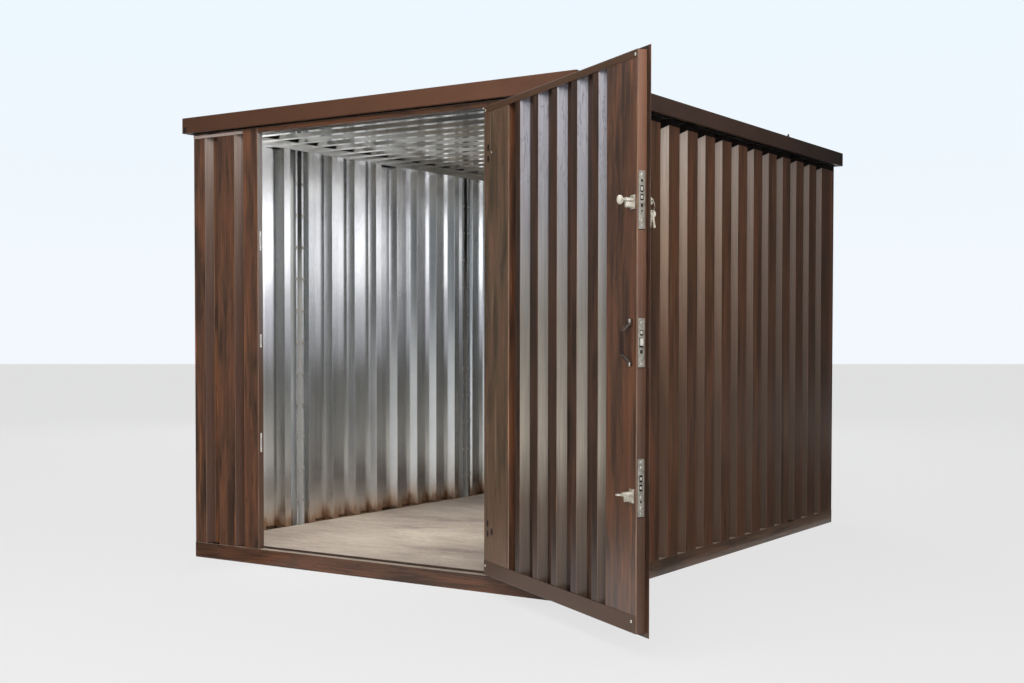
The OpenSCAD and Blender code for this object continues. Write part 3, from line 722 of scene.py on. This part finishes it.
# lock face plates on the door's edge
# pockets: (middle, half width, half length); bolts: (middle, width, length, how far they stand out)
facePlates = {
    "width": 0.024, "gauge": 0.0012, "corner": 0.002, "pocketDepth": 0.0008,
    "boltRoot": 0.001, "boltEdge": 0.0006, "boltSink": 0.0008,
    # the gap below a plate is a dark strip of painted shade
    "gap": (0.003, 0.0006),      # the dark gap where the stile is cut below a plate: width, gauge
    "gapSeat": (0.0016, 0.0002),     # its middle, below the plate's end and out from its seat
    "plates": [
        {"level": 1.510, "length": 0.190, "screws": (0.083, -0.068, -0.085),
         "pockets": [(0.036, 0.006, 0.011), (0.008, 0.006, 0.010), (-0.018, 0.004, 0.006),
                     (0.062, 0.004, 0.004), (-0.036, 0.003, 0.003)],
         "bolts": [(0.036, 0.007, 0.012, 0.0018), (0.008, 0.007, 0.011, 0.0016)]},
        {"level": 1.045, "length": 0.160, "screws": (0.066, -0.070),
         "pockets": [(0.032, 0.006, 0.009), (0.0, 0.008, 0.016), (-0.030, 0.005, 0.006)],
         "bolts": [(0.002, 0.011, 0.024, 0.005), (0.033, 0.008, 0.010, 0.0014)]},
        {"level": 0.570, "length": 0.190, "screws": (0.085, 0.067, -0.030, -0.066, -0.085),
         "pockets": [(0.030, 0.006, 0.012), (0.0, 0.006, 0.011), (-0.046, 0.003, 0.004)],
         "bolts": [(0.030, 0.007, 0.010, 0.0014), (0.0, 0.007, 0.009, 0.0014)]},
    ],
}


def addFacePlates(settings):
    low, high = lockPlateBox
    turn = Matrix(((0, 0, -1, 0), (-1, 0, 0, 0), (0, 1, 0, 0), (0, 0, 0, 1)))
    below, out = settings["gapSeat"]
    mesh = bmesh.new()
    for plate in settings["plates"]:
        seat = shifted(high[0], (low[1] + high[1]) / 2, plate["level"]) @ turn
        top = seat @ shifted(0, 0, settings["gauge"])
        addSlottedPlate(mesh, seat, settings, plate["length"], plate["pockets"])
        for middle, width, length, proud in plate["bolts"]:
            stamp(mesh, block((width, length, proud + settings["boltRoot"]), settings["boltEdge"]),
                  [top @ shifted(0, middle, proud / 2 - settings["boltSink"])], 2)
        addScrews(mesh, [top @ shifted(0, middle, 0) for middle in plate["screws"]], head=2)
        stamp(mesh, block((settings["width"], *settings["gap"])),
              [seat @ shifted(0, -plate["length"] / 2 - below, out)], 1)
    doorPiece("lockFacePlates", mesh, ["plateZinc", "recessDark", "boltZinc"], "nickel", "lock_plates")


def closedBox(name):
    corners = [doorToWorld.inverted() @ v.co for v in nodes[name].data.vertices]
    return [[pick(c[i] for c in corners) for i in range(3)] for pick in (min, max)]


lockPlateBox = closedBox("lock_plates")
addFacePlates(facePlates)

# the locks' cylinders, their plugs, and the stepped rosettes around them
cylinderSettings = {
    "levels": (1.510, 0.548),
    "edge": 0.0009,
    "plugRadius": 0.0064, "plugProud": 0.0006,
    # the keyway is a dark block laid on the plug, painted shade standing in for the slot
    "keyway": (0.0016, 0.0085, 0.0004),     # width, length and depth
    "rosetteEdge": 0.0016,
}


def addCylinders(settings):
    low, high = closedBox("lock_cylinders")
    mesh = softCopy("lock_cylinders", settings["edge"], closed=True)
    middle = (low[0] + high[0]) / 2
    r, proud = settings["plugRadius"], settings["plugProud"]
    plug = turned([(0, proud), (r * 0.93, proud), (r, proud * 0.4), (r, -0.001), (0, -0.001)], 24)
    ends = [standing((middle, low[1], level), front) for level in settings["levels"]]
    stamp(mesh, plug, ends)
    keyed = standing((middle, low[1] - proud, settings["levels"][1]), front)
    stamp(mesh, block(settings["keyway"]), [keyed], 1)
    doorPiece("lockCylinders", mesh, ["nickel", "recessDark"], "nickel", "lock_cylinders")
    doorPiece("rosettes", softCopy("escutcheons", settings["rosetteEdge"], 3, closed=True),
              ["nickel"], "nickel", "escutcheons")


addCylinders(cylinderSettings)

thumbTurns = {
    "stem": [(0, 0), (0.0078, 0), (0.0078, 0.0018), (0.0062, 0.0024), (0.0058, 0.0052), (0.0072, 0.0066),
             (0.0066, 0.009), (0, 0.0094)],
    "blade": (0.0158, 0.0122, 0.0056),      # half height, half depth and thickness
    "steps": 32,      # round the blade
    "edge": 0.0024,
}


def addThumbTurn(name, node, body, settings, angle):
    low, high = closedBox(node)
    place = Vector(((low[0] + high[0]) / 2, low[1], (low[2] + high[2]) / 2))
    seat = standing(place, rear, angle)
    mesh = moved(turned(settings["stem"], 24), seat)
    halfHeight, halfDepth, thickness = settings["blade"]
    blade = bmesh.new()
    bmesh.ops.create_circle(blade, cap_ends=True, radius=halfHeight, segments=settings["steps"])
    grown = bmesh.ops.extrude_face_region(blade, geom=blade.faces[:])["geom"]
    bmesh.ops.translate(blade, vec=(0, 0, thickness), verts=vertsOf(grown))
    if len(blade.faces) == settings["steps"] + 1:       # the first cap went with the extrusion
        bmesh.ops.holes_fill(blade, edges=[e for e in blade.edges if e.is_boundary])
    bmesh.ops.recalc_face_normals(blade, faces=blade.faces)
    rounded(blade, [e for e in blade.edges if e.calc_face_angle(0) > 1], settings["edge"], 4)
    bmesh.ops.scale(blade, vec=(halfDepth / halfHeight, 1, 1), verts=blade.verts)
    bmesh.ops.translate(blade, vec=(0, 0, -thickness / 2), verts=blade.verts)
    reach = high[1] - low[1] - halfDepth
    stamp(mesh, blade, [seat @ shifted(0, 0, reach) @ turnedBy(90, "Y")])
    doorPiece(name, mesh, ["nickel"], "nickel", node, body=body)


for level, angle in (("upper", 0), ("lower", 90)):
    addThumbTurn(f"{level}ThumbTurn", f"{level}_thumb_turn", f"{level}_turn", thumbTurns, angle)

handleSettings = {
    "edge": 0.0012,
    "screwInset": 0.006,     # from the ends of the feet
    "footGauge": 0.004,
    "screwScale": 1.7,
}


def addHandle(settings):
    low, high = closedBox("pull_handle")
    mesh = softCopy("pull_handle", settings["edge"], closed=True)
    middle, foot = (low[0] + high[0]) / 2, low[1] + settings["footGauge"]
    ends = (low[2] + settings["screwInset"], high[2] - settings["screwInset"])
    addScrews(mesh, [standing((middle, foot, z), rear) for z in ends], scale=settings["screwScale"], head=1,
              recess=2)
    doorPiece("pullHandle", mesh, ["handlePaint", "nickel", "recessDark"], plain, "pull_handle")


addHandle(handleSettings)

keySettings = {"edge": 0.0005}
keyMesh = softCopy("keys", keySettings["edge"], 1, closed=True)
doorPiece("keysAndRing", keyMesh, ["nickel"], "nickel", "keys")

# holes and fixings on the door, each hole a raised rim round a dark disc of painted shade: distance from the
# leaf's hinge edge, height
doorFixings = {
    "holes": [(0.043, 1.828), (0.043, 1.782), (0.038, 0.304), (0.038, 0.262), (0.080, 0.275)],
    "holeSize": (0.0105, 0.0004), "holeStretch": 1.5,
    "screws": [(0.075, 1.805)],
    "railScrews": [(1.240, 1.981), (0.018, 1.981), (1.223, 0.127), (0.015, 0.128)],
    "railScrewScale": 1.3,
    "sunk": -0.0003,
}


def addDoorFixings(settings):
    stileBox, railBox = closedBox("door_hinge_stile"), closedBox("door_top_rail")
    edge, skin, railFace = stileBox[1][0], stileBox[1][1], railBox[1][1]
    (r, proud), sunk = settings["holeSize"], settings["sunk"]
    mesh = bmesh.new()
    rim = turned([(r, sunk), (r, proud), (r * 0.86, proud), (r * 0.8, proud * 0.2), (r * 0.8, sunk)], 20)
    holeShade = turned([(0, proud * 0.5), (r * 0.82, proud * 0.5), (r * 0.82, sunk), (0, sunk)], 20)
    stretch = Matrix.Diagonal((1, settings["holeStretch"], 1, 1))
    places = [standing((edge - u, skin, z), rear) @ stretch for u, z in settings["holes"]]
    stamp(mesh, rim, places, 0)
    stamp(mesh, holeShade, places, 1)
    for name, face, scale in (("screws", skin, 1.0), ("railScrews", railFace, settings["railScrewScale"])):
        screws = [standing((edge - u, face, z), rear) for u, z in settings[name]]
        addScrews(mesh, screws, scale=scale, head=2)
    doorPiece("doorFixings", mesh, ["hingePaint", "recessDark", "boltZinc"], "nickel")


addDoorFixings(doorFixings)

hingeSettings = {
    "edge": 0.0008, "capRadius": 0.0056, "capHeight": 0.0022,
    "levels": (0.285, 1.800), "half": 0.060,     # of each hinge: its middle and half its height
}


def addHinges(settings):
    mesh = softCopy("frame_hinges", settings["edge"])
    r, h = settings["capRadius"], settings["capHeight"]
    cap = turned([(0, h), (r * 0.6, h * 0.85), (r, h * 0.2), (r, -0.0006), (0, -0.0006)], 20)
    stamp(mesh, cap, [standing((*hingePlace[:2], level + side * settings["half"]), (0, 0, side))
                      for level in settings["levels"] for side in (-1, 1)])
    piece = addPiece("frameHinges", shaded(mesh), ["hingePaint"])
    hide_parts("frame_hinges")
    doorPiece("doorHingeLeaves", softCopy("door_hinge_leaves", settings["edge"], closed=True),
              ["hingePaint"], plain, "door_hinge_leaves")


addHinges(hingeSettings)

strikeSettings = {
    "width": 0.009, "gauge": 0.0012, "corner": 0.0015, "pocketDepth": 0.0009,
    "plates": [(1.510, 0.088), (1.045, 0.060), (0.570, 0.088)],
    "pocket": (0.0016, 0.26),     # half width, and half length as a share of the plate
    "screwInset": 0.008, "screwScale": 0.75,
}


def addStrikePlates(settings):
    low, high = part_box("strike_plates")
    turn = Matrix(((0, 0, 1, 0), (1, 0, 0, 0), (0, 1, 0, 0), (0, 0, 0, 1)))
    mesh = bmesh.new()
    half, share = settings["pocket"]
    for level, length in settings["plates"]:
        seat = shifted(low[0], (low[1] + high[1]) / 2, level) @ turn
        addSlottedPlate(mesh, seat, settings, length, [(0.0, half, length * share)])
        ends = [side * (length / 2 - settings["screwInset"]) for side in (-1, 1)]
        addScrews(mesh, [seat @ shifted(0, end, settings["gauge"]) for end in ends],
                  scale=settings["screwScale"])
    piece = addPiece("strikePlates", shaded(mesh), ["strikeZinc", "recessDark"])
    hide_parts("strike_plates")


addStrikePlates(strikeSettings)

# hexagon bolts on the seam posts' lips and at the corners of the doorway
boltSettings = {
    "radius": 0.0062, "height": 0.0042, "washer": 0.0082, "washerGauge": 0.0012,
    "seamLevels": [0.21 + 0.165 * i for i in range(11)],
    "lipMiddle": 0.0242,     # from the seam's middle
    "doorway": [((0.618, -1.474, 2.0100), (0, 0, -1)), ((0.634, -1.478, 0.114), left)],
}


def addBolts(settings):
    r, h, w, gauge = (settings[k] for k in ("radius", "height", "washer", "washerGauge"))
    head = bmesh.new()
    bmesh.ops.create_cone(head, cap_ends=True, segments=6, radius1=r, radius2=r, depth=h,
                          matrix=shifted(0, 0, gauge + h / 2))
    rim = [e for e in head.edges if abs(e.verts[0].co.z + e.verts[1].co.z - 2 * (gauge + h)) < 1e-5]
    rounded(head, rim, h * 0.2, 1)
    washer = turned([(0, gauge), (w * 0.94, gauge), (w, gauge * 0.5), (w, -0.0005), (0, -0.0005)], 16)
    places = []
    for side, outward, along, middle in seamPosts:
        lips = Vector(outward) * (wallFaces[side] - seamSettings["lipDepth"])
        for lip in (-1, 1):
            for level in settings["seamLevels"]:
                place = Vector((0, 0, level)) + lips
                place[along] = middle + lip * settings["lipMiddle"]
                places.append(standing(place, -Vector(outward), rng.uniform(0, 60)))
    doorway = [standing(place, direction, rng.uniform(0, 60)) for place, direction in settings["doorway"]]
    mesh = bmesh.new()
    for part in (head, washer):
        stamp(mesh, part.copy(), places, 0)
        stamp(mesh, part, doorway, 1)
    addPiece("bolts", shaded(mesh), ["plateZinc", "boltZinc"])


addBolts(boltSettings)

# roofing screws with sealing washers, on the flanges round the roof
roofScrews = {
    "inset": 0.026, "pitchAlong": 0.31, "pitchAcross": 0.304,
    "washer": 0.008, "head": 0.0046, "height": 0.0042,
    "lift": 0.002,         # of the flanges over the roof sheet's own box
    "looseTip": 0.71,      # one screw that came up through the right flange
    "tipInset": 0.007,
    "tip": [(0, 0.017), (0.002, 0.014), (0.0055, 0.009), (0.0062, -0.002), (0, -0.002)],
}


def addRoofScrews(settings):
    high, lift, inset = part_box("roof_sheet")[1], settings["lift"], settings["inset"]
    edgeX, edgeY, top = high[0] + lift - inset, high[1] + lift - inset, high[2] + lift
    countY, countX = round(2 * edgeY / settings["pitchAlong"]), round(2 * edgeX / settings["pitchAcross"])
    places = [(side * edgeX, -edgeY + 2 * edgeY * i / countY, top)
              for side in (-1, 1) for i in range(countY + 1)]
    places += [(-edgeX + 2 * edgeX * i / countX, side * edgeY, top) for side in (-1, 1)
               for i in range(1, countX)]
    w, r, h = settings["washer"], settings["head"], settings["height"]
    part = turned([(0, h), (r * 0.8, h), (r, h * 0.85), (r, h * 0.4), (w * 0.9, h * 0.3), (w, 0),
                   (w, -0.0005), (0, -0.0005)], 12)
    mesh = bmesh.new()
    stamp(mesh, part, [shifted(*place) for place in places])
    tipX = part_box("right_fascia")[1][0] - settings["tipInset"]
    stamp(mesh, turned(settings["tip"], 10), [shifted(tipX, settings["looseTip"], top)], 1)
    addPiece("roofScrews", shaded(mesh), ["boltZinc", "hingePaint"])


addRoofScrews(roofScrews)

# pressed strip that closes the tops of the front sheets' flutes, painted pale as a painted reflection
eavesStrip = {"low": 2.012, "high": 2.0265, "gauge": 0.0012, "edge": 0.0005}


def addEavesStrips(settings):
    mesh = bmesh.new()
    for side, sign in (("left", -1), ("right", 1)):
        outer, jamb = sign * wallFaces["right"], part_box(f"{side}_jamb")
        inner = sign * max(abs(jamb[0][0]), abs(jamb[1][0]))
        size = (abs(inner - outer), settings["gauge"], settings["high"] - settings["low"])
        middle = shifted((inner + outer) / 2, -wallFaces["front"] - settings["gauge"] / 2,
                         (settings["low"] + settings["high"]) / 2)
        stamp(mesh, block(size, settings["edge"], 1), [middle])
    addPiece("eavesStrips", shaded(mesh), ["eavesPaint"])


addEavesStrips(eavesStrip)

# dark blocks painted as the shade of notches where the fascias' lips are cut at the corners
cornerNotches = {"size": (0.016, 0.0014, 0.026), "inset": 0.017, "rise": 0.017}


def addCornerNotches(settings):
    low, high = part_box("front_fascia")
    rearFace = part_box("rear_fascia")[1][1]
    mesh = bmesh.new()
    width, gauge, height = settings["size"]
    places = [shifted(side * (high[0] - settings["inset"]), y, low[2] + settings["rise"])
              for side in (-1, 1) for y in (low[1] + gauge * 0.4, rearFace - gauge * 0.4)]
    stamp(mesh, block((width, gauge, height), 0.0004, 1), places)
    addPiece("cornerNotches", shaded(mesh), ["recessDark"])


addCornerNotches(cornerNotches)
print("fixings and locks made")

studioSettings = {
    "floorEnd": 54.0,        # how far the floor runs from the camera
    "floorGrey": (235, 235, 235),
    "floorShare": 0.84,      # share of the floor's seen tone that no shadow darkens
    "skyTop": (236, 247, 255),
    "skyLow": (243, 248, 254),
    "skyReach": 0.25,        # how high the sky has its top colour
    "fill": 0.32,
    "fillTint": (0.95, 0.97, 1, 1),
}


# 1 for what the camera, polished surfaces and glass see
def straightRays(tree):
    rays = addNode(tree, "LightPath", {}).outputs
    seen = rays["Is Camera Ray"]
    for kind in ("Is Glossy Ray", "Is Transmission Ray"):
        seen = addNode(tree, "Math", {0: seen, 1: rays[kind]}, operation="MAXIMUM").outputs[0]
    return seen


def addStagePlane(name, size, matrix, paint):
    mesh = bmesh.new()
    bmesh.ops.create_grid(mesh, x_segments=1, y_segments=1, size=0.5)
    bmesh.ops.scale(mesh, vec=(*size, 1), verts=mesh.verts)
    plane = newObject(name, moved(mesh, matrix))
    material = bpy.data.materials.new(paint)
    material.use_nodes = True
    plane.data.materials.append(material)
    return plane, material.node_tree, material.node_tree.nodes["Principled BSDF"]


def addFloor(settings):
    under = shifted(*cameraSettings["place"][:2], 0) @ turnedBy(cameraSettings["turn"])
    reach, colour = 2 * settings["floorEnd"], tone(settings["floorGrey"])
    _, tree, shader = addStagePlane("floor", (reach, reach), under, "floorGrey")
    fill(tree, shader, {"Base Color": colour, "Roughness": 0.9, "Specular IOR Level": 0.1})
    glow = addNode(tree, "Emission", {"Color": colour})
    share = addNode(tree, "Math", {0: straightRays(tree), 1: settings["floorShare"]},
                    operation="MULTIPLY").outputs[0]
    mix = addNode(tree, "MixShader", {0: share, 1: shader.outputs[0], 2: glow.outputs[0]})
    fill(tree, tree.nodes["Material Output"], {"Surface": mix.outputs[0]})


def addSky(settings):
    world = bpy.data.worlds.new("sky")
    scene.world = world
    world.use_nodes = True
    tree = world.node_tree
    tree.nodes.clear()
    coords = addNode(tree, "TexCoord", {}).outputs["Generated"]
    height = addNode(tree, "SeparateXYZ", {0: coords}).outputs["Z"]
    ramp = addNode(tree, "ValToRGB", {"Fac": height})
    low, high = ramp.color_ramp.elements
    low.color, high.color = tone(settings["skyLow"]), tone(settings["skyTop"])
    high.position = settings["skyReach"]
    seen = addNode(tree, "Background", {"Color": ramp.outputs["Color"]})
    lit = addNode(tree, "Background", {"Color": settings["fillTint"], "Strength": settings["fill"]})
    mix = addNode(tree, "MixShader", {0: straightRays(tree), 1: lit.outputs[0], 2: seen.outputs[0]})
    addNode(tree, "OutputWorld", {"Surface": mix.outputs[0]})


# name: place, aim, width and height in metres, watts, whether polished surfaces see it, spread in degrees
lamps = {
    "keyBox": ((3.4, -6.4, 4.7), (0.5, -1.4, 1.4), (1.7, 1.4), 100, False),
    "frontBox": ((-0.4, -7.6, 3.4), (0.6, -1.5, 1.1), (3.0, 2.4), 140, False),
    "sideBox": ((6.8, -8.2, 3.6), (1.0, -0.5, 1.4), (2.4, 2.0), 330, False),
    "highBox": ((2.0, -8.5, 7.0), (0.0, -1.5, 1.2), (5.0, 4.0), 90, False),
    "topBox": ((0.0, -1.0, 7.0), (0.0, -0.5, 1.0), (7.0, 6.0), 95, True),
    "rearBox": ((-6.0, 7.5, 4.0), (0.0, 0.5, 1.0), (4.0, 3.0), 230, False),
    "floorLamp": ((-0.4, -0.6, 1.96), (-0.5, -0.7, 0.0), (1.0, 1.6), 8.2, False, 82),
}
# lamps in the container that only polished surfaces see: place, aim, width and height,
# (height, tone) at the foot and at the top, tint
glints = {
    "highGlint": ((0.88, 0.75, 1.70), (-1.0, 0.3, 1.5), (0.6, 0.5), (0, 2.1), (1, 2.1), (1, 1, 1)),
    "sideGlint": ((0.91, 0.7, 1.46), (-1.0, 0.7, 1.46), (1.0, 1.12), (0.95, 0.42), (1.98, 1.35),
                  (0.97, 0.96, 1.1)),
    "rearGlint": ((0.35, 1.4, 1.48), (-0.7, -1.0, 1.5), (1.3, 1.2), (0.95, 0.05), (1.95, 0.45),
                  (0.97, 0.98, 1.04)),
    "lowGlint": ((0.88, 0.4, 0.5), (-1.0, 0.2, 0.4), (1.6, 0.8), (0.1, 0.56), (0.7, 0.08), (1.05, 1, 0.95)),
}
glintPower = 4      # watts a square metre that shine at a tone of 1
# cards that only polished surfaces see, laid out as the lamps above
dark = ((0, 0.06), (1, 0.06), (1, 1, 1))
cards = {
    "doorCard": ((4.3, -9.15, 2.0), (1.2, -2.0, 1.6), (1.75, 3.6), (1.0, 1.2), (3.2, 3.0), (0.8, 1.0, 1.2)),
    "sideCard": ((6.2, -9.3, 2.5), (1.0, -1.5, 1.8), (3.2, 2.8), (1.2, 0.8), (3.3, 3.0), (1.03, 1.0, 0.94)),
    "rightCard": ((9.0, -2.9, 2.9), (-1.0, -1.5, 2.0), (5.0, 2.4), (2.4, 0.2), (3.4, 2.5),
                  (1.06, 0.98, 0.92)),
    "frontCloth": ((-5.8, -8.0, 2.2), (0.0, -1.5, 1.6), (9.5, 6.0), (0, 0.16), (1, 0.16), (1, 1, 1)),
    "leftCloth": ((-9.0, -1.5, 2.2), (0.0, -1.5, 1.2), (10.0, 5.6), (0, 0.14), (1, 0.14), (1, 1, 1)),
    "doorwayCloth": ((1.2, -11.2, 3.2), (0.0, -1.5, 2.6), (5.0, 4.4), *dark),
    "rearCloth": ((5.6, 8.6, 2.2), (1.0, 0.0, 1.2), (10.0, 5.6), *dark),
}
groundCloths = {      # place, width and length
    "side": ((3.55, 3.2, 0.004), (4.9, 8.0)),
    "near": ((4.9, -5.4, 0.005), (5.2, 7.6)),
    "front": ((-4.8, -4.8, 0.004), (8.4, 6.6)),
    "left": ((-5.1, 0.5, 0.004), (7.8, 4.0)),
}
for side, (place, size) in groundCloths.items():
    cards[side + "GroundCloth"] = (place, (*place[:2], 3.0), size, *dark)


def aimed(place, aim, axis):
    turn = (Vector(aim) - Vector(place)).to_track_quat(axis, "Y").to_matrix().to_4x4()
    return shifted(*place) @ turn


def addSoftbox(name, place, aim, size, power, polished=True, spread=180):
    data = bpy.data.lights.new(name, "AREA")
    data.shape = "RECTANGLE"
    data.size, data.size_y = size
    data.energy = power
    data.spread = math.radians(spread)
    light = bpy.data.objects.new(name, data)
    light.matrix_world = aimed(place, aim, "-Z")
    light.visible_camera = False
    light.visible_glossy = polished
    scene.collection.objects.link(light)
    return light


def heightTone(tree, place, foot, top):
    height = addNode(tree, "SeparateXYZ", {0: place}).outputs["Z"]
    return addNode(tree, "MapRange", {"Value": height, "From Min": foot[0], "To Min": foot[1],
                                      "From Max": top[0], "To Max": top[1]}).outputs["Result"]


def addGlint(name, place, aim, size, foot, top, tint):
    light = addSoftbox(name, place, aim, size, glintPower * size[0] * size[1])
    light.visible_diffuse = False
    light.data.use_nodes = True
    tree = light.data.node_tree
    spot = addNode(tree, "NewGeometry", {}).outputs["Position"]
    fill(tree, tree.nodes["Emission"], {"Color": (*tint, 1), "Strength": heightTone(tree, spot, foot, top)})


def addCard(name, place, aim, size, foot, top, tint):
    card, tree, shader = addStagePlane(name, size, aimed(place, aim, "Z"), name)
    spot = addNode(tree, "TexCoord", {}).outputs["Object"]
    fill(tree, shader, {"Base Color": tone(0), "Specular IOR Level": 0, "Emission Color": (*tint, 1),
                        "Emission Strength": heightTone(tree, spot, foot, top)})
    card.visible_camera = card.visible_diffuse = card.visible_shadow = card.visible_transmission = False


addFloor(studioSettings)
addSky(studioSettings)
for add, things in ((addSoftbox, lamps), (addGlint, glints), (addCard, cards)):
    for name, settings in things.items():
        add(name, *settings)
print("studio set:", len(lamps) + len(glints), "lamps,", len(cards), "cards")
